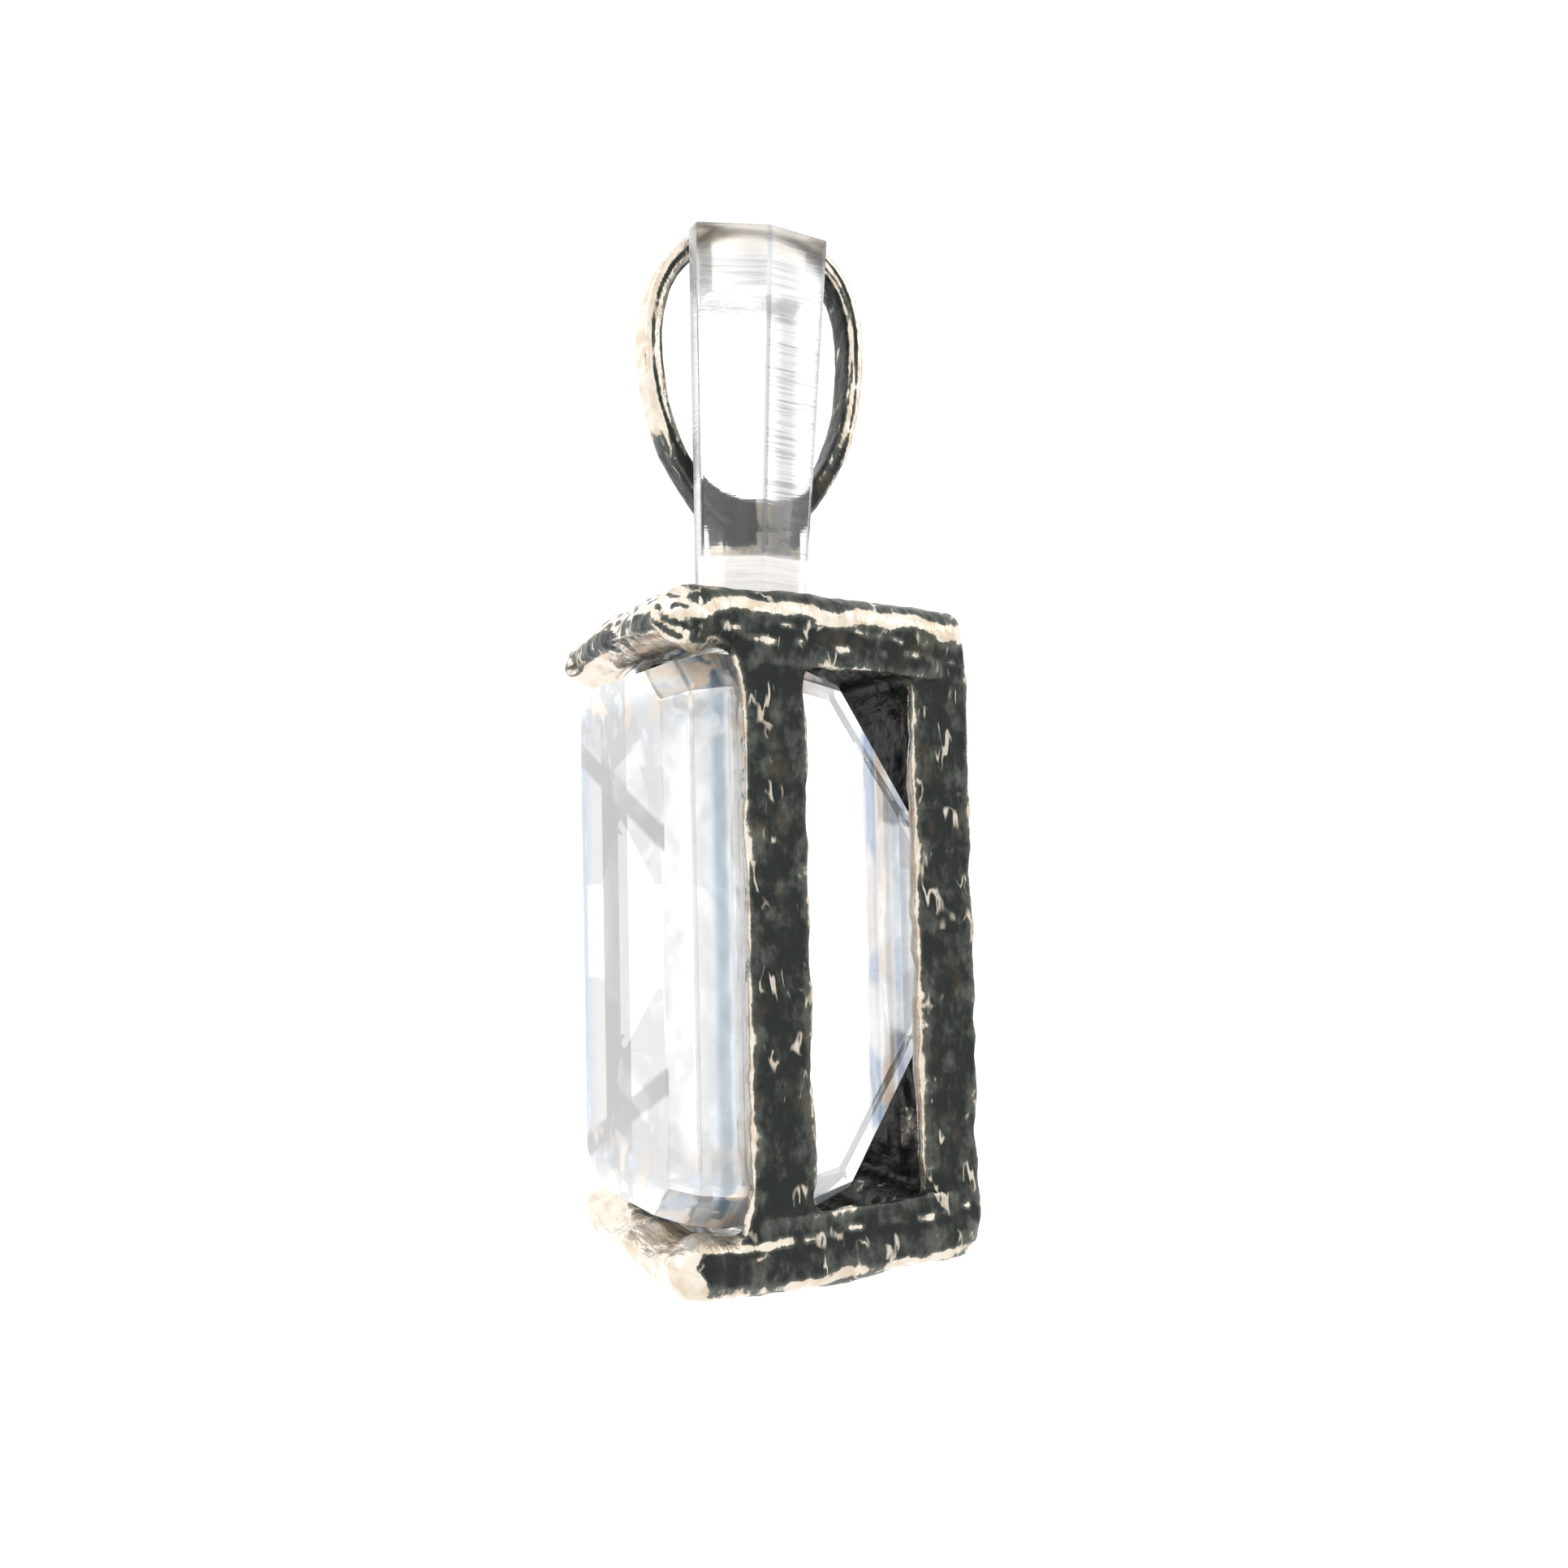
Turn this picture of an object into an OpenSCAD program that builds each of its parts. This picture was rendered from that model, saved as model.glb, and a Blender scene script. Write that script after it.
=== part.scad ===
// Pendant: a deep step-cut stone in an open silver cage that hangs from an egg-shaped loop.
// Frame: +Z up, -Y is the front (the stone's table), origin at the inner top of the loop.

/* [Cage] */
// Width of the cage, left to right
cage_w = 12.96; // [12.5:0.1:14]
// Depth of the cage, front to back
cage_d = 11.75; // [11.7:0.05:13]
// Height of the cage, end to end
cage_h = 25; // [24.6:0.1:27]
// Radius of the round bars at the sides and the back of each end
rim_r = 1.05; // [0.9:0.05:1.2]
// Radius of the round bar across the front of each end
front_r = 1.25; // [1.1:0.05:1.3]
// Thickness of each closed end plate
plate_t = 1.2; // [0.8:0.1:1.4]
// Depth of each closed end plate below the bars' outer faces
plate_drop = 0.2; // [0.1:0.05:0.3]
// Height of the seat ledge inside each end
ledge_h = 1.7; // [1.2:0.1:1.8]
// Thickness of the seat ledge
ledge_t = 0.57; // [0.4:0.01:0.7]
// Thickness of the lip that closes each end of the open back
back_lip_t = 0.7; // [0.6:0.05:0.8]
// Height of that lip, from the end of the cage
back_lip_h = 8.3; // [4:0.1:8.5]

/* [Posts] */
// Thickness of the four flat side posts
post_t = 0.87; // [0.8:0.01:0.9]
// Front face of the front posts, behind the cage front
front_post_y = 2.5; // [2.4:0.05:2.8]
// Width of the front posts
front_post_w = 2.42; // [2:0.05:2.6]
// Width of the back posts
back_post_w = 2.25; // [2:0.05:2.5]

/* [Loop] */
// Half of the loop's outer width, front to back
loop_r = 4.9; // [4.6:0.1:5.2]
// Outer height of the whole loop
loop_h = 13.35; // [13:0.05:14]
// Height of the loop's top over its widest line
loop_top_h = 5.1; // [4.6:0.1:5.4]
// How square the loop's shoulders are, where 2 gives an ellipse
loop_square = 2.3; // [2:0.1:2.6]
// Thickness of the loop's band
loop_t = 0.85; // [0.8:0.05:1.1]
// Thickness of the band at the loop's foot
loop_foot_t = 1.75; // [1.2:0.05:2]
// Width of the loop's band, left to right
loop_w = 1.5; // [1.2:0.1:1.8]
// Share of its width that the loop loses towards its pointed foot
loop_pinch = 0.3; // [0.1:0.01:0.32]
// Height of the block that joins the loop to the cage
foot_h = 3.3; // [2.8:0.1:4]
// Width of that block, front to back
foot_w = 3; // [2.4:0.1:3.4]

/* [Strap] */
// Height of the clear strap's top over the loop's inner top
strap_top = 0.05; // [0:0.05:0.4]
// Width of the clear strap at its top
strap_top_w = 5.8; // [5.4:0.1:6]
// Width of the clear strap at its foot
strap_foot_w = 4.4; // [4:0.1:4.8]
// Thickness of the strap at its long edges
strap_t = 0.9; // [0.6:0.1:1.2]
// How far the ridge stands over the long edges
strap_ridge = 0.8; // [0.4:0.1:1.2]
// Height of the tongue that reaches through the loop
tongue_h = 2.4; // [1.6:0.1:2.6]
// Width of the tongue, front to back
tongue_w = 3.8; // [3:0.1:4]

/* [Fit] */
// Clearance between pieces that only rest on each other
gap = 0.08; // [0.06:0.01:0.1]

/* [Hidden] */

// Heights and depths of the cage, from the inner top of the loop
loop_y = 0;
cage_front = -5.55;
cage_back = cage_front + cage_d;
cage_top = loop_t - loop_h - foot_h;
cage_foot = cage_top - cage_h;
cage_mid = cage_top - cage_h / 2;
half_w = cage_w / 2;
solder = 0.3;
// Round corners stand this much over the bars that they join
bead = 0.04;
// The flat posts stand this far inside the bars' outer line at the sides and at the back
post_inset = 0.18;
post_back_inset = 0.06;

// The loop's egg outline
loop_low = loop_h - loop_top_h;
loop_z = loop_t - loop_top_h;
inner_pinch = 0.05;
loop_steps = 48;

// The stone, one row per step outline, from the table back to the keel
// Columns: half width, half height, corner cut across, corner cut down, depth behind the cage front
STONE = [
    [4.85, 9.15, 1.9, 1.5, -0.4],
    [5.18, 9.75, 2.0, 1.6, 0.8],
    [5.36, 10.2, 2.0, 1.7, 2.1],
    [5.36, 10.2, 2.0, 1.7, 2.5],
    [5.15, 9.95, 1.2, 1.0, 4.6],
    [4.75, 9.35, 0.6, 0.5, 7.1],
    [3.9, 4.55, 0.4, 0.3, 10.3],
    [0.15, 1.8, 0.1, 0.1, 11.6]
];
SIDES = 8;

// A cylinder lying along X, centred
module bar_x(r, length) {
    rotate([0, 90, 0]) cylinder(r = r, h = length, center = true, $fn = 32);
}

// A cylinder lying along Y, centred
module bar_y(r, length) {
    rotate([90, 0, 0]) cylinder(r = r, h = length, center = true, $fn = 32);
}

// One closed end with its four round bars, its outer face at height 0 and its inside towards -Z
module cap() {
    side_x = half_w - rim_r;
    front_x = half_w - front_r;
    side_len = cage_d - front_r - rim_r;
    side_y = cage_front + front_r + side_len / 2;
    ledge_x = half_w - post_t / 2;
    translate([0, cage_front + front_r, -front_r]) bar_x(front_r, 2 * front_x);
    translate([0, cage_back - rim_r, -rim_r]) bar_x(rim_r, 2 * side_x);
    for (side = [-1, 1]) {
        translate([side * side_x, side_y, -rim_r]) bar_y(rim_r, side_len);
        translate([side * front_x, cage_front + front_r, -front_r]) sphere(r = front_r + bead, $fn = 32);
        translate([side * side_x, cage_back - rim_r, -rim_r]) sphere(r = rim_r + bead, $fn = 32);
        // Seat ledge behind the front post
        translate([side * ledge_x - ledge_t / 2, cage_front + front_post_y + solder, -rim_r - ledge_h])
            cube([ledge_t, cage_d - front_post_y - rim_r - solder, ledge_h]);
    }
    translate([-side_x, cage_front + front_r, -plate_t - plate_drop])
        cube([2 * side_x, cage_d - front_r - rim_r, plate_t]);
    // Lip across one end of the open back
    translate([-side_x, cage_back - back_lip_t - 2 * post_back_inset, -back_lip_h])
        cube([2 * side_x, back_lip_t, back_lip_h - rim_r]);
}

// The four flat posts that join the two ends
module posts() {
    outer = half_w - post_inset;
    for (side = [-1, 1]) {
        left = side > 0 ? outer - post_t : -outer;
        translate([left, cage_front + front_post_y, cage_foot + rim_r])
            cube([post_t, front_post_w, cage_h - 2 * rim_r]);
        translate([left, cage_back - back_post_w, cage_foot + rim_r])
            cube([post_t, back_post_w - post_back_inset, cage_h - 2 * rim_r]);
    }
}

// A share of the way along an axis of a squarish oval
function squarish(share) = sign(share) * pow(abs(share), 2 / loop_square);

// A point of the egg, inset from its outer edge by inset, and by foot_inset at its foot
// The angle a is measured from +Y, and the egg narrows below by the share pinch
function egg_point(a, inset, foot_inset, pinch) =
    let (low = sin(a) < 0,
         down = low ? loop_low - foot_inset : loop_top_h - inset,
         narrow = low ? 1 - pinch * sin(a) * sin(a) : 1)
    [(loop_r - inset) * squarish(cos(a)) * narrow, down * squarish(sin(a))];

function egg(inset, foot_inset, pinch) =
    [for (i = [0 : loop_steps - 1]) egg_point(360 * i / loop_steps, inset, foot_inset, pinch)];

// The loop stands in the YZ plane
module loop_band() {
    translate([-loop_w / 2, loop_y, loop_z]) rotate([90, 0, 90])
        linear_extrude(height = loop_w) difference() {
            polygon(egg(0, 0, loop_pinch));
            polygon(egg(loop_t, loop_foot_t, inner_pinch));
        }
}

module foot() {
    block_w = loop_w - 3 * bead;
    translate([-block_w / 2, loop_y - foot_w / 2, cage_top - 2 * solder])
        cube([block_w, foot_w, foot_h + 4 * solder]);
}

module setting() {
    color("darkslategray") union() {
        translate([0, 0, cage_top]) cap();
        translate([0, 0, cage_foot]) mirror([0, 0, 1]) cap();
        posts();
        loop_band();
        foot();
    }
}

// The eight corners of one step outline of the stone
function outline(row) =
    let (w = row[0], h = row[1], cx = row[2], cz = row[3], y = cage_front + row[4])
    [for (p = [[w, h - cz], [w - cx, h], [cx - w, h], [-w, h - cz],
               [-w, cz - h], [cx - w, -h], [w - cx, -h], [w, cz - h]])
        [p[0], y, cage_mid + p[1]]];

module stone() {
    rows = len(STONE);
    points = [for (row = STONE) each outline(row)];
    table = [[for (i = [0 : SIDES - 1]) i]];
    keel = [[for (i = [SIDES - 1 : -1 : 0]) (rows - 1) * SIDES + i]];
    steps = [for (r = [0 : rows - 2], i = [0 : SIDES - 1])
        let (j = (i + 1) % SIDES, a = r * SIDES, b = a + SIDES)
        [a + i, b + i, b + j, a + j]];
    color("aliceblue") polyhedron(points = points, faces = concat(table, steps, keel), convexity = 4);
}

// The strap's long bar: flat at its back, ridged towards +X, with a plumb front edge
module strap_bar() {
    back_x = loop_w / 2 + gap;
    edge_x = back_x + strap_t;
    ridge_x = edge_x + strap_ridge;
    foot_z = cage_top + gap;
    front = -strap_top_w / 2;
    rear_top = front + strap_top_w;
    rear_foot = front + strap_foot_w;
    mid_top = (front + rear_top) / 2;
    mid_foot = (front + rear_foot) / 2;
    ends = [for (e = [[foot_z, rear_foot, mid_foot], [strap_top, rear_top, mid_top]])
        each [[back_x, front, e[0]], [edge_x, front, e[0]], [ridge_x, e[2], e[0]],
              [edge_x, e[1], e[0]], [back_x, e[1], e[0]]]];
    polyhedron(points = ends, convexity = 2,
        faces = [[0, 1, 2, 3, 4], [9, 8, 7, 6, 5],
                 for (i = [0 : 4]) [i, i + 5, (i + 1) % 5 + 5, (i + 1) % 5]]);
}

// The tongue passes under the loop's top and turns up behind it
module tongue() {
    reach = loop_w / 2 + gap;
    low = -gap - tongue_h;
    tongue_r = loop_r - loop_t - gap;
    intersection() {
        translate([-reach - strap_t, -tongue_w / 2, low])
            cube([2 * reach + 1.5 * strap_t, tongue_w, tongue_h]);
        translate([0, 0, -gap - tongue_r]) bar_x(tongue_r, 4 * reach + 4 * strap_t);
    }
    translate([-reach - strap_t, -tongue_w / 2, low]) cube([strap_t, tongue_w, strap_top - low]);
}

module clear_strap() {
    color("whitesmoke", 0.6) union() {
        strap_bar();
        tongue();
    }
}

setting();
stone();
clear_strap();
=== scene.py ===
"""Dress the moissanite pendant: its blackened silver cage, its cut stone and the clear strap it hangs on."""

from __future__ import annotations

import logging
import math
from contextlib import contextmanager
from dataclasses import dataclass
from enum import Enum
from typing import Any, Iterable, Iterator, Sequence, Union

import bpy
import numpy as np
from mathutils import Matrix, Vector

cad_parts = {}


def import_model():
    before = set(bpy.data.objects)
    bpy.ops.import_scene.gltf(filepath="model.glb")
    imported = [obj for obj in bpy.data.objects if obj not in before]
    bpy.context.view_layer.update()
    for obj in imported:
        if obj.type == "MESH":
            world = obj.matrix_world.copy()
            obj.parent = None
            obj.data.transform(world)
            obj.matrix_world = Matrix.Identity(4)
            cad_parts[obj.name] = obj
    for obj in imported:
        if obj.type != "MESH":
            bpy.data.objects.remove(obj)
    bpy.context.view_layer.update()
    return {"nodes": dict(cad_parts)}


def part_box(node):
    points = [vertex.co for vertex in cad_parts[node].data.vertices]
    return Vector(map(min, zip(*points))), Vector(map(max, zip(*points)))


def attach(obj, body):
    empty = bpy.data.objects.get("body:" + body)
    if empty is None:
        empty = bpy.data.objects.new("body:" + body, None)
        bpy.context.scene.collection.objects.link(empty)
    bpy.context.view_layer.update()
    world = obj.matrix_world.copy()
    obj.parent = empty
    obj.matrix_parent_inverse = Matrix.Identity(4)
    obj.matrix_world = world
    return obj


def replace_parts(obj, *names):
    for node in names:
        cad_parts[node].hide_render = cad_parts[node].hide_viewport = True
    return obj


LOG = logging.getLogger("pendant")
MM = 0.001
# The middle of every noise's values
NOISE_MIDDLE = 0.5
# Rounds of smoothing that the dents are measured against
RISE_ROUNDS = 14

Colour = tuple[float, float, float]
Point = tuple[float, float, float]
# Where a smooth step starts and where it ends
Span = tuple[float, float]
Number = Union["Wire", float, int]


class Axis(Enum):
    """The direction that a round bar runs in."""

    ACROSS = (0.0, math.pi / 2, 0.0)
    DEEP = (math.pi / 2, 0.0, 0.0)


# Shader maths

class Wire:
    """A value socket that takes part in Python expressions."""

    def __init__(self, tree: bpy.types.NodeTree, socket: bpy.types.NodeSocket) -> None:
        """Keep the tree that new Math nodes go into and the output that this wire stands for."""
        self.tree = tree
        self.socket = socket

    def math(self, operation: str, *values: Number, clamp: bool = False) -> "Wire":
        """Add one Math node.

        Args:
            operation: The node's operation.
            values: Its inputs in order.
            clamp: Whether the result is kept between 0 and 1.

        Returns:
            The node's result.
        """
        node = self.tree.nodes.new("ShaderNodeMath")
        node.operation = operation
        node.use_clamp = clamp
        for socket, value in zip(node.inputs, values):
            if isinstance(value, Wire):
                self.tree.links.new(value.socket, socket)
            else:
                socket.default_value = value
        return Wire(self.tree, node.outputs[0])

    def __add__(self, other: Number) -> "Wire":
        """Return self + other."""
        return self.math("ADD", self, other)

    def __radd__(self, other: Number) -> "Wire":
        """Return other + self."""
        return self.math("ADD", other, self)

    def __sub__(self, other: Number) -> "Wire":
        """Return self - other."""
        return self.math("SUBTRACT", self, other)

    def __rsub__(self, other: Number) -> "Wire":
        """Return other - self."""
        return self.math("SUBTRACT", other, self)

    def __mul__(self, other: Number) -> "Wire":
        """Return self * other."""
        return self.math("MULTIPLY", self, other)

    def __rmul__(self, other: Number) -> "Wire":
        """Return other * self."""
        return self.math("MULTIPLY", other, self)

    def clamped(self) -> "Wire":
        """Return the value kept between 0 and 1."""
        return self.math("ADD", self, 0.0, clamp=True)

    def largest(self, other: Number) -> "Wire":
        """Return the larger of the two values."""
        return self.math("MAXIMUM", self, other)

    def size(self) -> "Wire":
        """Return the value without its sign."""
        return self.math("ABSOLUTE", self)

    def step(self, low: float, high: float) -> "Wire":
        """Return a smooth step from 0 at low to 1 at high, which may lie below low."""
        share = self.math("MULTIPLY", self - low, 1.0 / (high - low), clamp=True)
        return share * share * (3.0 - 2.0 * share)

    def near(self, middle: Number, inner: float, outer: float) -> "Wire":
        """Return a smooth step from 1 within inner of the middle to 0 from outer on."""
        return (self - middle).size().step(outer, inner)

    def swing(self) -> "Wire":
        """Return how far a noise is over or under its middle."""
        return self - NOISE_MIDDLE


@dataclass(frozen=True)
class Grain:
    """A noise: its clouds to a millimetre, its finer layers, their strength and how it is stretched."""

    scale: float
    detail: float = 2.0
    rough: float = 0.5
    stretch: Point | None = None


class Graph:
    """A node tree in the making, with one method that makes its nodes."""

    def __init__(self, tree: bpy.types.NodeTree) -> None:
        """Empty the node tree of a material or a world."""
        self.tree = tree
        tree.nodes.clear()

    def make(
        self,
        kind: str,
        settings: dict[str, Any] | None = None,
        sockets: dict[str | int, Any] | None = None,
    ) -> bpy.types.Node:
        """Add one node.

        Args:
            kind: The node's type, without its ShaderNode prefix.
            settings: Its settings, set first.
            sockets: Values, wires or sockets for its inputs, by name or number.

        Returns:
            The new node.
        """
        node = self.tree.nodes.new("ShaderNode" + kind)
        for key, value in (settings or {}).items():
            setattr(node, key, value)
        for key, value in (sockets or {}).items():
            if isinstance(value, Wire):
                self.tree.links.new(value.socket, node.inputs[key])
            elif isinstance(value, bpy.types.NodeSocket):
                self.tree.links.new(value, node.inputs[key])
            else:
                node.inputs[key].default_value = value
        return node

    def wire(self, node: bpy.types.Node, output: str | int = 0) -> Wire:
        """Return one output of a node as a wire."""
        return Wire(self.tree, node.outputs[output])

    def axes(self, spot: bpy.types.NodeSocket) -> list[Wire]:
        """Return the X, Y and Z of a place."""
        parts = self.make("SeparateXYZ", None, {0: spot})
        return [self.wire(parts, axis) for axis in "XYZ"]


class Finish(Graph):
    """A material in the making."""

    def __init__(self, name: str) -> None:
        """Start an empty material.

        Args:
            name: The material's name.
        """
        self.material = bpy.data.materials.new(name)
        self.material.use_nodes = True
        super().__init__(self.material.node_tree)

    def place(self) -> bpy.types.NodeSocket:
        """Return the point on the piece, in millimetres."""
        spot = self.make("TexCoord").outputs["Object"]
        return self.make("VectorMath", {"operation": "SCALE"}, {0: spot, "Scale": 1.0 / MM}).outputs[0]

    def stretched(self, spot: bpy.types.NodeSocket, scale: Point) -> bpy.types.NodeSocket:
        """Return a place whose pattern runs finer or coarser along each axis."""
        return self.make("Mapping", None, {"Vector": spot, "Scale": scale}).outputs[0]

    def noise(self, spot: bpy.types.NodeSocket, grain: Grain) -> Wire:
        """Return a cloudy noise.

        Args:
            spot: The place on the piece, in millimetres.
            grain: How the noise runs.

        Returns:
            The noise value.
        """
        if grain.stretch:
            spot = self.stretched(spot, grain.stretch)
        sockets = {"Vector": spot, "Scale": grain.scale, "Detail": grain.detail, "Roughness": grain.rough}
        return self.wire(self.make("TexNoise", None, sockets))

    def reading(self, name: str) -> Wire:
        """Return one of the piece's own attributes."""
        return self.wire(self.make("Attribute", {"attribute_name": name}), "Fac")

    def layered(self, base: Any, layers: Iterable[tuple[Number, Any]]) -> bpy.types.NodeSocket:
        """Lay colours over one another.

        Args:
            base: The lowest colour, or a link to one.
            layers: How much there is of each further colour, and the colour or a link to it.

        Returns:
            The mixed colour's socket.
        """
        settings = {"data_type": "RGBA", "clamp_factor": True}
        for share, colour in layers:
            low, high = (
                value if isinstance(value, bpy.types.NodeSocket) else (*value, 1.0)
                for value in (base, colour)
            )
            base = self.make("Mix", settings, {0: share, 6: low, 7: high}).outputs[2]
        return base

    def bump(self, height: Wire, strength: float, depth: float, under: Any = None) -> bpy.types.NodeSocket:
        """Turn a height into a normal.

        Args:
            height: The height, from 0 to 1.
            strength: How much of the bump is used.
            depth: What a height of 1 is, in millimetres.
            under: A normal that the bump goes on.

        Returns:
            The bumped normal's socket.
        """
        sockets = {"Strength": strength, "Distance": depth * MM, "Height": height}
        if under is not None:
            sockets["Normal"] = under
        return self.make("Bump", None, sockets).outputs[0]

    def shader(self, sockets: dict[str | int, Any]) -> bpy.types.NodeSocket:
        """Return a main shader with these values and links."""
        return self.make("BsdfPrincipled", None, sockets).outputs[0]

    def between(self, share: Wire, first: Any, second: Any) -> bpy.types.NodeSocket:
        """Return a mix of two shaders, with this share of the second one."""
        return self.make("MixShader", None, {0: share, 1: first, 2: second}).outputs[0]

    def close(self, surface: bpy.types.NodeSocket) -> bpy.types.Material:
        """Finish the material with its surface and return it."""
        self.make("OutputMaterial", None, {"Surface": surface})
        return self.material


# Finishes

@dataclass(frozen=True)
class BlackenedSilver:
    """Hammered silver, blackened in its hollows and rubbed bright on its high spots, with painted highlights,
    painted light and painted shading laid over it from the piece's own attribute.
    """

    bright: Colour = (0.56, 0.51, 0.435)
    warm: Colour = (0.47, 0.39, 0.30)
    grey: Colour = (0.094, 0.101, 0.086)
    brown: Colour = (0.060, 0.045, 0.032)
    black: Colour = (0.006, 0.009, 0.0075)
    polish_and_painted_light: Colour = (0.96, 0.96, 0.95)
    bright_rough: float = 0.24
    black_rough: float = 0.40
    grain_rough: float = 0.16
    black_metal: float = 0.3
    bend: float = 1.32

    # How each pattern runs over the metal
    stretch: Point = (0.40, 1.0, 0.75)
    fleck_stretch: Point = (0.8, 1.0, 0.75)
    cloud: Grain = Grain(0.9, 4.0, 0.6)
    grain: Grain = Grain(5.0, 3.0, 0.6)
    pits: Grain = Grain(2.3, 3.0, 0.55, (1.0, 1.0, 0.6))
    squiggle: Grain = Grain(1.25, 1.5, stretch=(1.5, 1.5, 0.6))
    patch: Grain = Grain(1.1, 1.0)
    brown_cloud: Grain = Grain(0.8, 3.0)
    warm_cloud: Grain = Grain(1.7)

    # How much each pattern counts
    rise_share: float = 7.0
    cloud_share: float = 0.9
    pit_share: float = 1.6
    worn_and_lit_grain: float = 0.85
    grey_grain: float = 0.9
    fleck_uneven: float = 0.16
    fleck_share: float = 0.75
    brown_share: float = 0.4
    grey_share: float = 0.6

    # How much clouds and pits count in the dents, and how deep dents and grain are, in millimetres
    dent_cloud: float = 0.6
    dent_pit: float = 0.4
    dent_depth: float = 0.26
    grain_depth: float = 0.03

    # Where each pattern starts and is full
    worn_and_lit_edge: Span = (0.20, 0.55)
    grey_edge: Span = (-0.62, 0.30)
    brown_edge: Span = (0.54, 0.68)
    warm_edge: Span = (0.42, 0.68)
    polish_and_light_edge: Span = (1.35, 1.5)
    fleck_edge: Span = (0.050, 0.012)
    fleck_patches: Span = (0.55, 0.65)
    fleck_ground: Span = (-1.1, -0.5)

    def make(self) -> bpy.types.Material:
        """Build the material.

        Returns:
            The material, which reads the piece's "rise" attribute and its attribute of rubbed wear with
            painted highlights, painted light and painted shading.
        """
        skin = Finish("blackened_silver")
        spot, even = (skin.stretched(skin.place(), scale) for scale in (self.stretch, self.fleck_stretch))
        cloud, grain, pits = (skin.noise(spot, kind) for kind in (self.cloud, self.grain, self.pits))
        # The rubbed wear, with painted highlights, painted light and painted shading mixed in, from the
        # piece's attribute
        wear_and_painted_light = skin.reading("wear_and_painted_light")
        rise = skin.reading("rise") * self.rise_share
        high = wear_and_painted_light + rise + cloud.swing() * self.cloud_share + pits.swing() * self.pit_share
        # Painted glints: short bright squiggles, in patches, where the metal is neither bright nor deep black
        squiggle = skin.noise(even, self.squiggle).swing().size() + pits.swing() * self.fleck_uneven
        fleck_glint = squiggle.step(*self.fleck_edge) * skin.noise(even, self.patch).step(*self.fleck_patches)
        fleck_glint = fleck_glint * wear_and_painted_light.step(*self.fleck_ground) * self.fleck_share
        # Rubbed bright spots, with the painted highlight lines and painted glints among them
        worn_and_lit = (high + grain.swing() * self.worn_and_lit_grain).step(*self.worn_and_lit_edge).largest(fleck_glint)
        greyed = (high + grain.swing() * self.grey_grain).step(*self.grey_edge)
        browned = skin.noise(spot, self.brown_cloud).step(*self.brown_edge)
        dark_layers = [(browned * self.brown_share, self.brown), (greyed * self.grey_share, self.grey)]
        dark = skin.layered(self.black, dark_layers)
        warmed = skin.noise(spot, self.warm_cloud).step(*self.warm_edge)
        light = skin.layered(self.bright, [(warmed, self.warm)])
        # Near white where wear and painted light run highest: painted light on the cage's inside walls, and
        # the loop's rubbed outer edges and block
        polished_and_lit = wear_and_painted_light.step(*self.polish_and_light_edge)
        rough = self.black_rough + worn_and_lit * (self.bright_rough - self.black_rough)
        rough = rough + grain.swing() * self.grain_rough
        rubbed = 1 - polished_and_lit
        dented = cloud * self.dent_cloud + pits * self.dent_pit
        dents = skin.bump(dented * rubbed, strength=0.9, depth=self.dent_depth)
        sockets = {
            "Base Color": skin.layered(dark, [(worn_and_lit, light), (polished_and_lit, self.polish_and_painted_light)]),
            "Metallic": self.black_metal + worn_and_lit * (1 - self.black_metal),
            "Roughness": rough.clamped(),
            "Normal": skin.bump(grain * rubbed, strength=0.6, depth=self.grain_depth, under=dents),
            "IOR": self.bend,
        }
        return skin.close(skin.shader(sockets))


@dataclass(frozen=True)
class ReflectionBand:
    """A soft upright band of painted reflection in the stone: its middle, half width and edge, in
    millimetres.
    """

    middle: float
    half: float
    edge: float
    tint: Colour

    def share(self, place: Wire) -> Wire:
        """Return how much of the band there is at a place across it."""
        return place.near(self.middle, self.half, self.half + self.edge)


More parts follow.
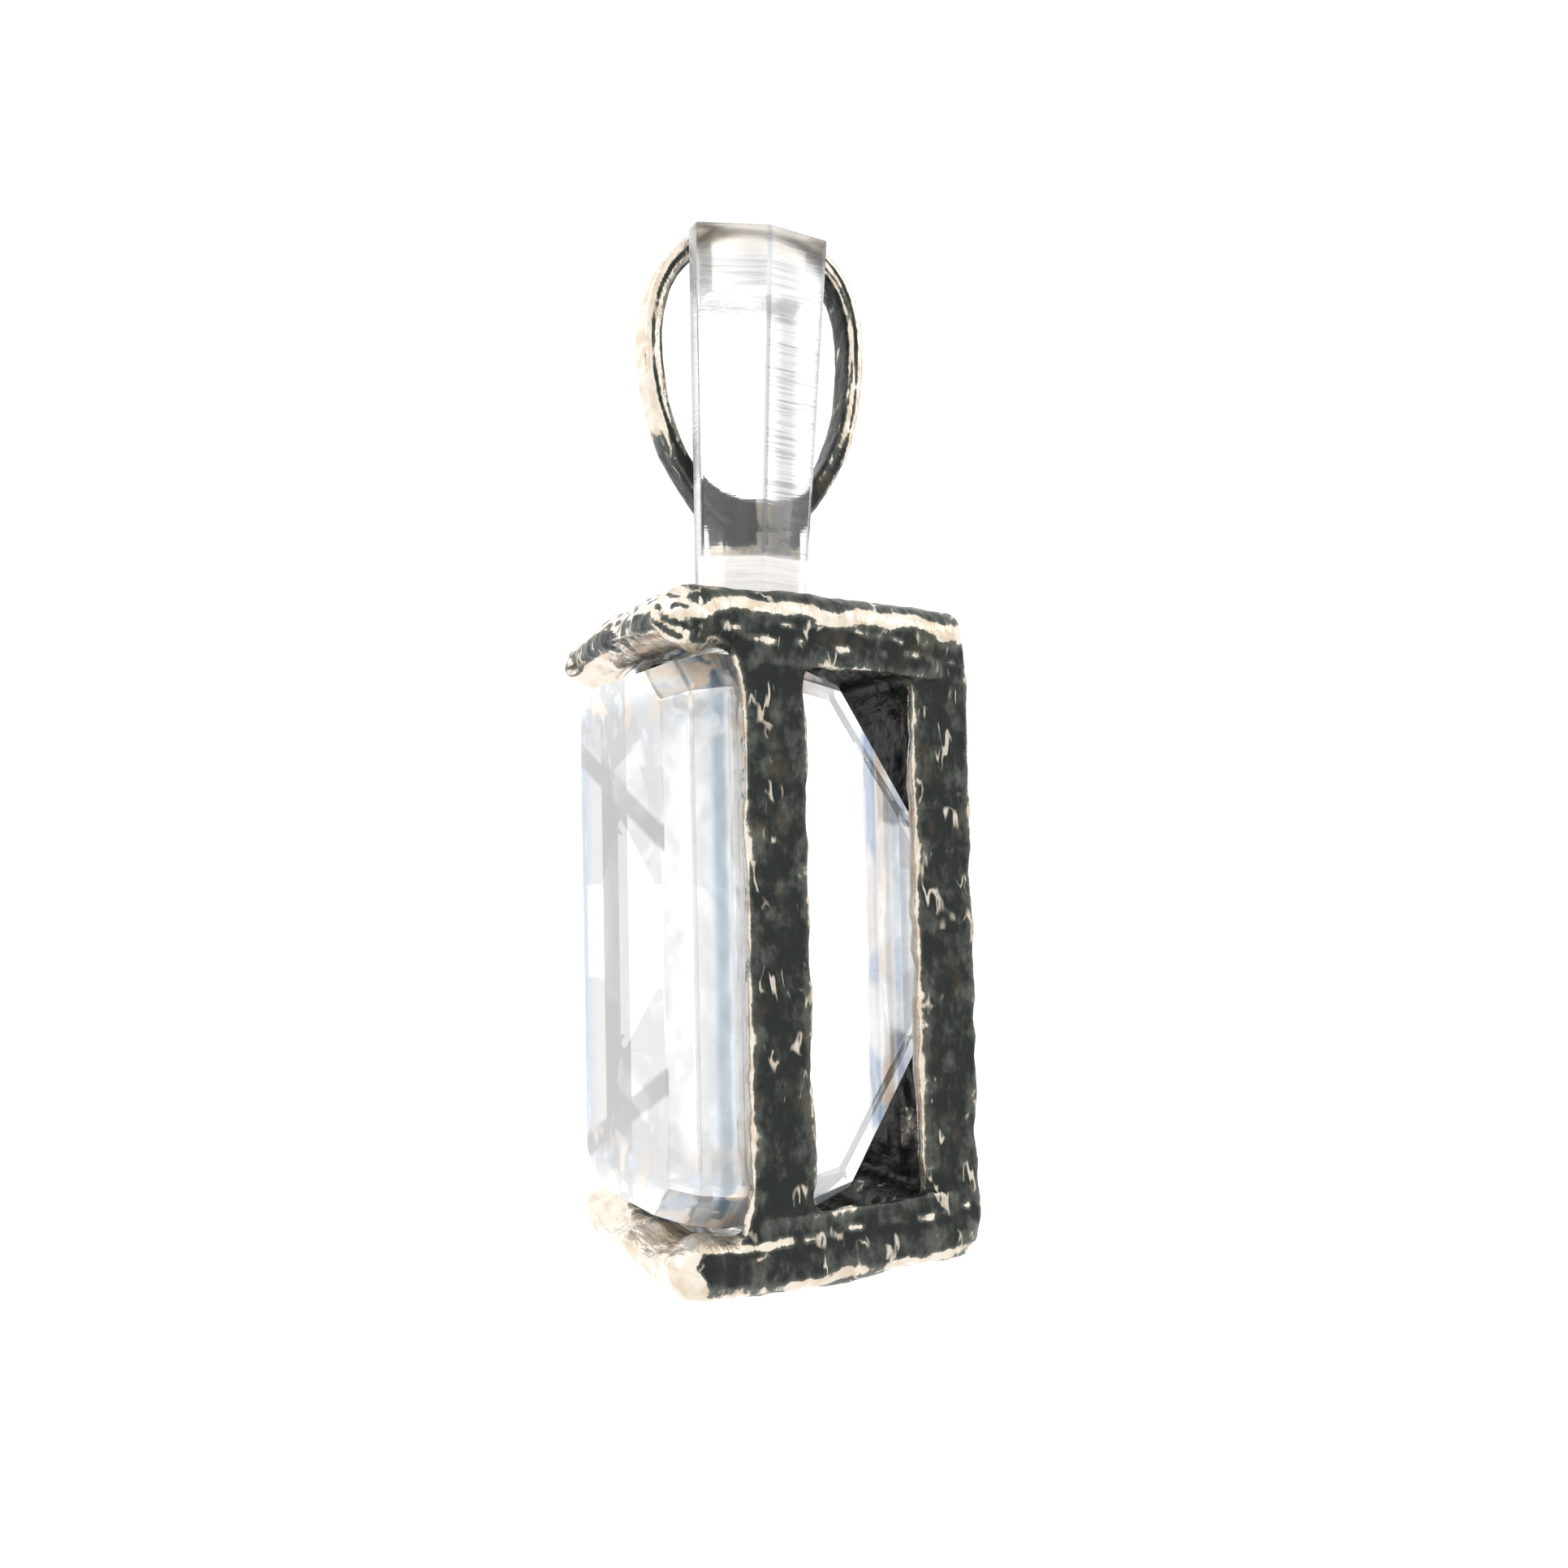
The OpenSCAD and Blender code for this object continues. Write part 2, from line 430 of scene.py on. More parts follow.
@dataclass(frozen=True)
class CutMoissanite:
    """Colourless stone with glossy cut facets, with painted reflections in its colour: faint cool and warm
    waves, upright bands, slanted grey strips, and grey hazing and glints at its ends.
    """

    body: Colour = (0.99, 0.995, 1.0)
    cool_wave: Colour = (0.90, 0.945, 1.0)
    warm_wave: Colour = (1.0, 0.955, 0.92)
    strip_reflection: Colour = (0.22, 0.22, 0.23)
    beyond_reflection: Colour = (0.60, 0.61, 0.63)
    haze_reflection: Colour = (0.46, 0.47, 0.48)
    warm_glint: Colour = (1.0, 0.82, 0.66)
    cool_glint: Colour = (0.70, 0.82, 1.0)
    bend: float = 2.65
    clear: float = 0.78
    hazy: float = 0.45
    scratch_rough: float = 0.02

    # Places, in millimetres, and how much of the waves and the haze shows
    middle_z: float = -28.30
    haze_start: float = 8.6
    table_y: float = -5.88
    girdle_y: float = -3.3
    strip_reach: float = 6.3
    strip_slope: float = 0.38
    strip_shift: float = 0.62
    strip_half: Span = (0.35, 0.65)
    crowd_reach: float = 1.6
    haze_reach: float = 1.2
    wave_share: float = 0.6
    beyond_share: float = 0.6
    haze_share: float = 0.8

    # How each pattern runs through the stone
    wave: Grain = Grain(0.5, 1.0, stretch=(1.0, 1.0, 0.1))
    shards: Grain = Grain(0.8, 0.0, stretch=(1.0, 1.0, 0.5))
    glint: Grain = Grain(0.7)
    smoky_reflection: Grain = Grain(0.8, 1.0, stretch=(0.6, 1.0, 1.0))
    scratch: Grain = Grain(2.0, stretch=(0.3, 0.3, 3.0))

    # Where each pattern starts and is full
    cool_edge: Span = (0.52, 0.66)
    warm_edge: Span = (0.46, 0.36)
    shard_edge: Span = (0.42, 0.56)
    beyond_edge: Span = (0.4, 0.9)
    smoke_edge: Span = (0.52, 0.60)
    warm_glints: Span = (0.54, 0.62)
    cool_glints: Span = (0.44, 0.36)

    table_bands: tuple[ReflectionBand, ...] = (
        ReflectionBand(-4.85, 0.3, 1.5, (0.52, 0.72, 1.0)),
        ReflectionBand(-0.55, 1.5, 0.12, (0.17, 0.17, 0.15)),
    )
    crown_bands: tuple[ReflectionBand, ...] = (
        ReflectionBand(-4.80, 0.05, 0.06, (0.45, 0.48, 0.47)),
        ReflectionBand(-3.85, 0.10, 0.80, (0.55, 0.63, 0.72)),
        ReflectionBand(-3.80, 0.08, 0.34, (0.14, 0.23, 0.32)),
        ReflectionBand(-3.20, 0.12, 0.12, (0.55, 0.60, 0.52)),
    )
    side_bands: tuple[ReflectionBand, ...] = (
        ReflectionBand(2.75, 0.22, 0.22, (0.27, 0.38, 0.56)),
        ReflectionBand(3.35, 0.20, 0.20, (0.56, 0.45, 0.34)),
        ReflectionBand(4.10, 0.22, 0.20, (0.34, 0.43, 0.56)),
    )

    def make(self) -> bpy.types.Material:
        """Build the material.

        Returns:
            The material: clear in the middle, and hazier where the crown's ends crowd together, with painted
                reflections in its colour.
        """
        stone = Finish("cut_moissanite")
        spot = stone.place()
        x, y, z = stone.axes(spot)
        wave, shards, glint, smoky_reflection, scratch = (
            stone.noise(spot, kind) for kind in (self.wave, self.shards, self.glint, self.smoky_reflection, self.scratch)
        )
        table = y.step(self.table_y + 0.08, self.table_y)
        crown = y.step(self.girdle_y, self.girdle_y - 0.1) * (1 - table)
        side = y.step(0.0, 1.0) * (0.5 + shards.step(*self.shard_edge) * 0.5)
        bands = [
            (mask * band.share(place), band.tint)
            for rows, mask, place in (
                (self.table_bands, table, x),
                (self.crown_bands, crown, y),
                (self.side_bands, side, y),
            )
            for band in rows
        ]
        far = (z - self.middle_z).size()
        slant = (z - self.middle_z + self.strip_shift).size() + x * self.strip_slope - self.strip_reach
        crowded = far.step(self.haze_start - self.crowd_reach, self.haze_start) * (1 - side)
        tint = stone.layered(
            self.body,
            [
                # Painted play of colour: faint cool and warm waves
                (wave.step(*self.cool_edge) * self.wave_share, self.cool_wave),
                (wave.step(*self.warm_edge) * self.wave_share, self.warm_wave),
                # Painted reflections in upright bands on the table, the crown and the sides
                *bands,
                # Painted reflection: the pavilion's cut corners show through the table as slanted grey strips
                (table * slant.near(0.0, *self.strip_half), self.strip_reflection),
                (table * slant.step(*self.beyond_edge) * self.beyond_share, self.beyond_reflection),
                # Painted reflections where the facets crowd together at both ends: grey hazing and faint warm
                # and cool glints
                (crowded * smoky_reflection.step(*self.smoke_edge) * self.haze_share, self.haze_reflection),
                (crowded * glint.step(*self.warm_glints), self.warm_glint),
                (crowded * glint.step(*self.cool_glints), self.cool_glint),
            ],
        )
        rough = scratch.swing().size() * self.scratch_rough
        gloss = {"Base Color": tint, "Roughness": rough, "IOR": self.bend}
        clear, hazy = (
            stone.shader(gloss | {"Transmission Weight": share}) for share in (self.clear, self.hazy)
        )
        ends = far.step(self.haze_start, self.haze_start + self.haze_reach)
        veil = ends * y.step(self.girdle_y + 0.3, self.girdle_y)
        return stone.close(stone.between(veil.clamped(), clear, hazy))


@dataclass(frozen=True)
class ClearPlastic:
    """Clear moulded plastic, with painted grey shading along its edges, ridge and outer face, painted
    reflections in its head, and fine cross scratches.
    """

    top: float
    foot: float
    front: float
    rear_top: float
    taper: float
    body: Colour = (0.93, 0.935, 0.94)
    edge: Colour = (0.42, 0.43, 0.45)
    grey_shading_and_scuff: Colour = (0.34, 0.35, 0.365)
    smoky_reflection: Colour = (0.22, 0.215, 0.20)
    painted_beige: Colour = (0.66, 0.58, 0.47)
    cream: Colour = (0.97, 0.955, 0.92)
    frost_and_shading: Colour = (0.15, 0.155, 0.165)
    pearl: Colour = (0.90, 0.885, 0.86)
    bend: float = 1.49
    milk_rough: float = 0.35

    # Heights of the head, greyed with a painted reflection, of its rim, where the loop is painted in a warm
    # tint as seen through, and of the pale foot, in millimetres
    head: float = 2.9
    rim: float = 1.2
    pale: float = 2.4

    # Where the front and rear edges, the ridge, the outer face and the grey band start and are full
    front_rim: Span = (0.20, 0.05)
    rear_rim: Span = (0.30, 0.06)
    crease_half: Span = (0.05, 0.16)
    crease_x: Span = (1.9, 2.2)
    outside_x: Span = (1.0, 1.4)
    band_place: float = 1.0
    band_half: Span = (0.15, 0.8)
    streak_edge: Span = (0.50, 0.66)
    patch_edge: Span = (0.42, 0.58)
    line_edge: Span = (0.02, 0.10)
    head_edge: Span = (-0.9, 1.1)

    # How ragged patches and streaks make the head's lower edge, in millimetres
    patch_ragged: float = 2.4
    streak_ragged: float = 1.5

    # How much each part tints, roughens and frosts the plastic; the tint of the grey band, the right face and
    # the ridge is painted shading
    front_rim_share: float = 0.7
    band_share: float = 0.40
    right_share: float = 0.20
    scuff_share: float = 0.45
    smooth_rough: float = 0.03
    scuff_rough: float = 0.25
    head_rough: float = 0.35
    cloudy_rough: float = 0.30
    band_shading: float = 0.85
    line_frost: float = 0.24
    crease_shading: float = 0.4

    streak: Grain = Grain(1.0, 3.0, 0.65, (0.25, 0.25, 9.0))
    patch: Grain = Grain(0.35)

    @classmethod
    def fitted(cls, taper: float = 1.4) -> "ClearPlastic":
        """Take the strap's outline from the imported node."""
        box = Box.of("clear_strap")
        return cls(top=box.high.z, foot=box.low.z, front=box.low.y, rear_top=box.high.y, taper=taper)

    def make(self) -> bpy.types.Material:
        """Build the material.

        Returns:
            The material: clear plastic, with a dark milky one mixed in for painted shading on the grey band
                and the ridge, and for the cross lines and the pale foot.
        """
        clear = Finish("clear_plastic")
        spot = clear.place()
        x, y, z = clear.axes(spot)
        streak, patch = (clear.noise(spot, kind) for kind in (self.streak, self.patch))
        rear = self.rear_top - (self.top - z) * (self.taper / (self.top - self.foot))
        beside = y - (rear + self.front) * 0.5
        outside = x.step(*self.outside_x)
        right = beside.step(-0.05, 0.05)
        # Painted shading: the front and rear edges turn grey
        front_rim = (y - self.front).step(*self.front_rim) * self.front_rim_share
        rims = front_rim.largest((rear - y).step(*self.rear_rim))
        # Painted shading along the ridge
        crease = beside.near(0.0, *self.crease_half) * x.step(*self.crease_x)
        # Painted shading: a grey band down the outer face, greyer on its right side
        band = beside.near(self.band_place, *self.band_half) * self.band_share + right * self.right_share
        band = band * (0.45 + streak * 0.9)
        scuffed = streak.step(*self.streak_edge) * patch.step(*self.patch_edge) * beside.step(-0.05, 0.1)
        ragged = patch.swing() * self.patch_ragged + streak.swing() * self.streak_ragged
        # Painted reflection: the head is greyed down to a ragged edge
        head = (z - (self.top - self.head) + ragged).step(*self.head_edge) * outside
        # Painted reflection of the loop, seen through the rim in a warm tint
        painted_beige = (z - (self.top - self.rim)).step(-0.5, 0.5)
        cloudy = (z - (self.foot + self.pale)).step(0.15, -0.15) * outside
        smoky_reflection = head * (0.30 + streak * 1.1) * (1 - right * 0.45)
        tint = clear.layered(
            self.body,
            [
                # Painted shading in the grey band, then the grey of real scuffs
                (band.clamped(), self.grey_shading_and_scuff),
                (scuffed * self.scuff_share, self.grey_shading_and_scuff),
                # Painted reflections: grey in the head, and the loop's warm tint at the rim
                (smoky_reflection.clamped(), self.smoky_reflection),
                (head * painted_beige * (0.6 + patch * 0.5), self.painted_beige),
                (cloudy * (0.3 + right * 0.5), self.cream),
                # Painted grey shading on the edges and the ridge
                (rims.largest(crease), self.edge),
            ],
        )
        normal = clear.bump(streak, strength=0.5, depth=0.04)
        rough = self.smooth_rough + scuffed * self.scuff_rough
        rough = rough + head * self.head_rough + cloudy * self.cloudy_rough
        glass = clear.shader(
            {
                "Base Color": tint,
                "Roughness": rough.clamped(),
                "Normal": normal,
                "IOR": self.bend,
                "Transmission Weight": 1.0,
            }
        )
        # Milky cross lines and foot, and painted shading on the grey band and the ridge, which hold some of
        # the light back
        pale = clear.layered(self.frost_and_shading, [(cloudy, self.pearl)])
        milk = clear.shader({"Base Color": pale, "Roughness": self.milk_rough, "Normal": normal})
        lines = (streak.swing() * right).step(*self.line_edge)
        frosted_and_shaded = band * self.band_shading + lines * self.line_frost + crease * self.crease_shading
        frosted_and_shaded = frosted_and_shaded * outside * (1 - head * 0.8)
        share = frosted_and_shaded.largest(cloudy * (0.35 + streak * 0.6)).clamped()
        return clear.close(clear.between(share, glass, milk))


# Modelling

class Bench:
    """The modelling operators, each run on a clean selection, on pieces that are sized in millimetres."""

    @staticmethod
    def clear() -> None:
        """Deselect everything."""
        bpy.ops.object.select_all(action="DESELECT")

    @classmethod
    def hold(cls, *pieces: bpy.types.Object) -> None:
        """Select pieces alone and make the first one active.

        Args:
            pieces: The pieces.
        """
        cls.clear()
        for piece in pieces:
            piece.select_set(True)
        bpy.context.view_layer.objects.active = pieces[0]

    @classmethod
    @contextmanager
    def editing(cls, piece: bpy.types.Object) -> Iterator[None]:
        """Open one piece in edit mode with everything on it selected.

        Args:
            piece: The piece.

        Returns:
            Nothing; the piece is back in object mode after the block.
        """
        cls.hold(piece)
        bpy.ops.object.mode_set(mode="EDIT")
        bpy.ops.mesh.select_all(action="SELECT")
        try:
            yield
        finally:
            bpy.ops.object.mode_set(mode="OBJECT")

    @classmethod
    def round_bar(cls, centre: Point, axis: Axis, radius: float, length: float) -> bpy.types.Object:
        """Add a round bar with flat ends.

        Args:
            centre: The middle of the bar.
            axis: The way it runs.
            radius: Its radius.
            length: Its length.

        Returns:
            The bar.
        """
        cls.clear()
        bpy.ops.mesh.primitive_cylinder_add(
            vertices=32, radius=radius, depth=length, location=centre, rotation=axis.value
        )
        bar = bpy.context.object
        cls.settle(bar)
        return bar

    @classmethod
    def ball(cls, centre: Point, radius: float) -> bpy.types.Object:
        """Add a rounded corner.

        Args:
            centre: Its middle.
            radius: Its radius.

        Returns:
            The corner.
        """
        cls.clear()
        bpy.ops.mesh.primitive_uv_sphere_add(segments=32, ring_count=20, radius=radius, location=centre)
        ball = bpy.context.object
        cls.settle(ball)
        return ball

    @classmethod
    def block(cls, low: Point, high: Point, ease: float = 0.12) -> bpy.types.Object:
        """Add a block with eased edges.

        Args:
            low: Its lowest corner.
            high: Its highest corner.
            ease: How far its edges are cut back.

        Returns:
            The block.
        """
        cls.clear()
        centre = tuple((a + b) / 2 for a, b in zip(low, high))
        size = tuple(b - a for a, b in zip(low, high))
        bpy.ops.mesh.primitive_cube_add(size=1.0, location=centre, scale=size)
        block = bpy.context.object
        cls.settle(block)
        with cls.editing(block):
            bpy.ops.mesh.bevel(offset=ease, segments=2, affect="EDGES")
        return block

    @classmethod
    def settle(cls, piece: bpy.types.Object) -> None:
        """Put a piece's place, turn and scale into its mesh."""
        cls.hold(piece)
        bpy.ops.object.transform_apply(location=True, rotation=True, scale=True)

    @classmethod
    def join(cls, name: str, parts: Sequence[bpy.types.Object]) -> bpy.types.Object:
        """Join parts into one named piece.

        Args:
            name: The piece's name.
            parts: What it is joined from.

        Returns:
            The piece.
        """
        cls.hold(*parts)
        bpy.ops.object.join()
        piece = bpy.context.object
        piece.name = piece.data.name = name
        return piece

    @classmethod
    def modify(cls, piece: bpy.types.Object, kind: str, **settings: Any) -> None:
        """Add a modifier and apply it.

        Args:
            piece: The piece that it shapes.
            kind: The modifier's type.
            settings: Its settings.
        """
        cls.hold(piece)
        modifier = piece.modifiers.new(kind.lower(), kind)
        for key, value in settings.items():
            setattr(modifier, key, value)
        bpy.ops.object.modifier_apply(modifier=modifier.name)

    @classmethod
    def fuse(cls, piece: bpy.types.Object, grain: float, soften: int) -> None:
        """Melt a piece's parts into one skin of this grain, softened in rounds to small solder fillets."""
        cls.modify(piece, "REMESH", mode="VOXEL", voxel_size=grain, use_smooth_shade=True)
        cls.modify(piece, "SMOOTH", factor=0.5, iterations=soften)

    @classmethod
    def hammer(cls, piece: bpy.types.Object, name: str, size: float, depth: float, middle: float) -> None:
        """Beat a piece's surface into soft dents.

        Args:
            piece: The piece.
            name: The dent pattern's name.
            size: How wide the dents are.
            depth: How deep they are.
            middle: The height that stays where it was; above 0.5, most of the surface sinks.
        """
        pattern = bpy.data.textures.new(name, "CLOUDS")
        pattern.noise_scale = size
        pattern.noise_depth = 1
        pattern.noise_basis = "BLENDER_ORIGINAL"
        settings = {"texture": pattern, "texture_coords": "LOCAL"}
        cls.modify(piece, "DISPLACE", strength=depth, mid_level=middle, **settings)

    @classmethod
    def to_metres(cls, piece: bpy.types.Object) -> None:
        """Bring a piece from millimetres to the frame's metres."""
        piece.scale = (MM, MM, MM)
        cls.settle(piece)


class Skin:
    """A piece's points and normals as arrays, in millimetres, and the attributes made from them."""

    def __init__(self, piece: bpy.types.Object) -> None:
        """Read the piece's mesh.

        Args:
            piece: The piece, still in millimetres.
        """
        self.mesh = piece.data
        count = len(self.mesh.vertices)
        flat = np.empty(count * 3, np.float32)
        self.mesh.vertices.foreach_get("co", flat)
        self.points = flat.reshape(-1, 3).astype(np.float64)
        self.mesh.vertex_normals.foreach_get("vector", flat)
        self.normals = flat.reshape(-1, 3).astype(np.float64)
        pairs = np.empty(len(self.mesh.edges) * 2, np.int32)
        self.mesh.edges.foreach_get("vertices", pairs)
        self.pairs = pairs.reshape(-1, 2)

    def rise(self, rounds: int) -> np.ndarray:
        """Work out how far each point stands over its smoothed surroundings.

        Args:
            rounds: How many rounds of smoothing make the surroundings.

        Returns:
            The height of each point, in millimetres.
        """
        first, second = self.pairs.T
        count = len(self.points)

        def gathered(values: np.ndarray | None = None) -> np.ndarray:
            """Sum each point's neighbours, or count them."""
            there, back = (None, None) if values is None else (values[second], values[first])
            return np.bincount(first, there, count) + np.bincount(second, back, count)

        ways = np.maximum(gathered(), 1)
        soft = self.points.copy()
        for _ in range(rounds):
            soft = np.stack([gathered(soft[:, axis]) / ways for axis in range(3)], axis=1)
        return ((self.points - soft) * self.normals).sum(axis=1)

    def move(self, shift: np.ndarray) -> None:
        """Shift the points.

        Args:
            shift: A row of millimetres for each point.
        """
        self.points = self.points + shift
        self.mesh.vertices.foreach_set("co", self.points.astype(np.float32).ravel())
        self.mesh.update()

    def store(self, name: str, values: np.ndarray) -> None:
        """Keep one value for each point as a named attribute."""
        layer = self.mesh.attributes.new(name, "FLOAT", "POINT")
        layer.data.foreach_set("value", values.astype(np.float32))


def ease(values: np.ndarray, low: float, high: float) -> np.ndarray:
    """Return a smooth step of each value from 0 at low to 1 at high."""
    share = np.clip((values - low) / (high - low), 0.0, 1.0)
    return share * share * (3.0 - 2.0 * share)


def near(values: np.ndarray, middle: float, inner: float, outer: float) -> np.ndarray:
    """Return a smooth step of each value from 1 within inner of the middle to 0 from outer on."""
    return ease(np.abs(values - middle), outer, inner)


def ripple(values: np.ndarray, *waves: tuple[float, float, float]) -> np.ndarray:
    """Return a sum of sine waves, each given by its height, its rate and its shift."""
    return sum(height * np.sin(rate * values + shift) for height, rate, shift in waves)


# Sub-assemblies

@dataclass
class Box:
    """A node's box in millimetres."""

    low: Vector
    high: Vector

    @classmethod
    def of(cls, node: str) -> "Box":
        """Read a node's box from the frame."""
        low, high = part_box(node)
        return cls(Vector(low) / MM, Vector(high) / MM)


@dataclass
class SilverCage:
    """The two closed ends with their round bars, the four posts, the seat ledges and the back lips."""

    half_w: float
    front: float
    back: float
    foot: float
    top: float = -15.80
    rim_r: float = 1.05
    front_r: float = 1.25
    plate_t: float = 1.2
    plate_drop: float = 0.2
    ledge_h: float = 1.7
    ledge_t: float = 0.57
    lip_h: float = 8.3
    lip_t: float = 0.7
    post_t: float = 0.70
    post_inset: float = 0.36
    swell: float = 0.10
    back_inset: float = 0.06
    front_post: float = 2.5
    front_post_w: float = 2.42
    back_post_w: float = 2.25
    plump: float = 0.08
    grain: float = 0.138
    bead: float = 0.04
    overlap: float = 0.3

    # How far the hand-made bars bow, and how much the front ones are thinned towards the stone
    top_forward: float = 0.62
    foot_forward: float = 0.50
    top_up: float = 0.45
    foot_down: float = 0.40
    far_aside: float = 0.30
    back_in: float = 0.2
    thinned: float = 0.95

    # Where each bend starts and is full: into an end, along Y, behind the front and along X
    bent_depth: Span = (3.6, 2.2)
    bent_fore: Span = (5.0, -1.5)
    bent_behind: Span = (3.2, 1.8)
    bent_far: Span = (-1.5, -5.5)
    bent_back: Span = (4.8, 5.8)
    thin_behind: Span = (2.6, 1.6)
    thin_near: Span = (7.3, 2.6)
    thin_far: Span = (-3.0, -6.0)

    @classmethod
    def from_frame(cls) -> "SilverCage":
        """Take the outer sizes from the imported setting.

        Returns:
            The cage, to be built.
        """
        box = Box.of("setting")
        bead = cls.bead
        return cls(
            half_w=box.high.x - bead,
            front=box.low.y + bead,
            back=box.high.y - bead,
            foot=box.low.z + bead,
        )

    def end(self, level: float, inward: float) -> list[bpy.types.Object]:
        """Build one closed end.

        Args:
            level: The height of its outer face.
            inward: 1 where the cage's inside is above it, -1 where it is below.

        Returns:
            The end's bars, corners, plate, ledges and lip.
        """

        def slab(
            low: tuple[float, float], high: tuple[float, float], near_z: float, far_z: float
        ) -> bpy.types.Object:
            """Add a block between two depths into the cage."""
            levels = sorted((level + inward * near_z, level + inward * far_z))
            return Bench.block((*low, levels[0]), (*high, levels[1]))

        side_x = self.half_w - self.rim_r
        front_x = self.half_w - self.front_r
        front_y, back_y = self.front + self.front_r, self.back - self.rim_r
        front_z, rim_z = level + inward * self.front_r, level + inward * self.rim_r
        length = back_y - front_y
        lip_y = self.back - 2 * self.back_inset
        rim_r, front_r = self.rim_r + self.swell, self.front_r + self.swell
        parts = [
            Bench.round_bar((0.0, front_y, front_z), Axis.ACROSS, front_r, 2 * front_x),
            Bench.round_bar((0.0, back_y, rim_z), Axis.ACROSS, rim_r, 2 * side_x),
            slab((-side_x, front_y), (side_x, back_y), self.plate_drop, self.plate_drop + self.plate_t),
            slab((-side_x, lip_y - self.lip_t), (side_x, lip_y), self.rim_r, self.lip_h),
        ]
        ledge_x, ledge_half = self.half_w - self.post_t / 2, self.ledge_t / 2
        ledge_y = self.front + self.front_post + self.overlap
        for side in (-1, 1):
            middle = side * ledge_x
            parts += [
                Bench.round_bar((side * side_x, front_y + length / 2, rim_z), Axis.DEEP, rim_r, length),
                Bench.ball((side * (front_x + self.swell), front_y - self.swell, front_z), front_r),
                Bench.ball((side * side_x, back_y, rim_z), rim_r),
                slab(
                    (middle - ledge_half, ledge_y),
                    (middle + ledge_half, back_y),
                    self.rim_r,
                    self.rim_r + self.ledge_h,
                ),
            ]
        return parts

    def posts(self) -> list[bpy.types.Object]:
        """Build the four flat side posts.

        Returns:
            The posts.
        """
        outer = self.half_w - self.post_inset
        inner = outer - self.post_t
        low, high = self.foot + self.rim_r, self.top - self.rim_r
        front = self.front + self.front_post
        spans = (
            (front - self.plump, front + self.front_post_w + self.plump),
            (self.back - self.back_post_w - self.plump, self.back - self.back_inset + self.plump),
        )
        return [
            Bench.block((low_x, front_y, low), (high_x, back_y, high))
            for low_x, high_x in ((-outer, -inner), (inner, outer))
            for front_y, back_y in spans
        ]

    def bow(self, skin: Skin) -> np.ndarray:
        """Bend the bars as the hand-made ones are: out towards the front, and the top one at its far end.

        Args:
            skin: The cage's points.

        Returns:
            How far each point moves, in millimetres.
        """
        x, y, z = skin.points.T
        behind = y - self.front
        top = ease(z, *(self.top - depth for depth in self.bent_depth))
        foot = ease(z, *(self.foot + depth for depth in self.bent_depth))
        fore = ease(y, *self.bent_fore)
        front_bar = ease(behind, *self.bent_behind)
        far = ease(x, *self.bent_far)
        forward = (self.top_forward * top + self.foot_forward * foot * (1 - 0.8 * far)) * front_bar
        across = -self.far_aside * top * front_bar * far
        upward = self.top_up * top * (fore - 0.9 * far * front_bar)
        upward -= self.foot_down * foot * fore * (1 - 0.7 * far * front_bar)
        # The front bars are thinner on the side that faces the stone
        thin = ease(behind, *self.thin_behind) * ease(x, *self.thin_near)
        thin *= 1 - 0.5 * ease(x, *self.thin_far)
        under = np.clip((self.top - self.front_r - z) / self.front_r, 0.0, 1.0)
        over = np.clip((z - self.foot - self.front_r) / self.front_r, 0.0, 1.0)
        upward += self.thinned * thin * (under * top - over * foot)
        return np.stack([across, self.back_in * ease(y, *self.bent_back) - forward, upward], axis=1)

    def build(self) -> bpy.types.Object:
        """Model the cage as one soldered, hammered piece.

        Returns:
            The cage.
        """
        parts = self.end(self.foot, 1.0) + self.end(self.top, -1.0) + self.posts()
        cage = Bench.join("silver_cage", parts)
        Bench.fuse(cage, self.grain, 4)
        straight = Skin(cage)
        # Rubbed wear with painted highlights and painted light, worked out before the bars bend
        straight.store("wear_and_painted_light", CageWearAndPaintedLight(self, straight).values())
        straight.move(self.bow(straight))
        Bench.hammer(cage, "wide_dents", size=2.4, depth=0.34, middle=0.57)
        Bench.hammer(cage, "small_dents", size=0.75, depth=0.15, middle=0.55)
        skin = Skin(cage)
        # The front bars are smoother, so their dents count for less
        smoother = ease(skin.points[:, 1] - self.front, 2.6, 1.8)
        skin.store("rise", skin.rise(RISE_ROUNDS) * (1 - 0.75 * smoother))
        Bench.to_metres(cage)
        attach(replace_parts(cage, "setting"), "root")
        return cage


@dataclass(frozen=True)
class Blot:
    """A black patch on a front bar: where it lies along X and which way it faces, each with two reaches."""

    x: float
    x_reach: Span
    facing: float
    facing_reach: Span
    share: float = 1.0
    ragged: float = 0.0

    def at(self, x: np.ndarray, z: np.ndarray, nz: np.ndarray) -> np.ndarray:
        """Work out how much of the patch there is at each point.

        Args:
            x: The points' places from left to right.
            z: Their heights.
            nz: How far their faces look up.

        Returns:
            The patch's share at each point, from 0 to 1.
        """
        edge = self.ragged * np.sin(9.0 * z + 2.0 * x)
        across = ease(np.abs(x - self.x) + edge, self.x_reach[1], self.x_reach[0])
        return across * near(nz, self.facing, *self.facing_reach) * self.share


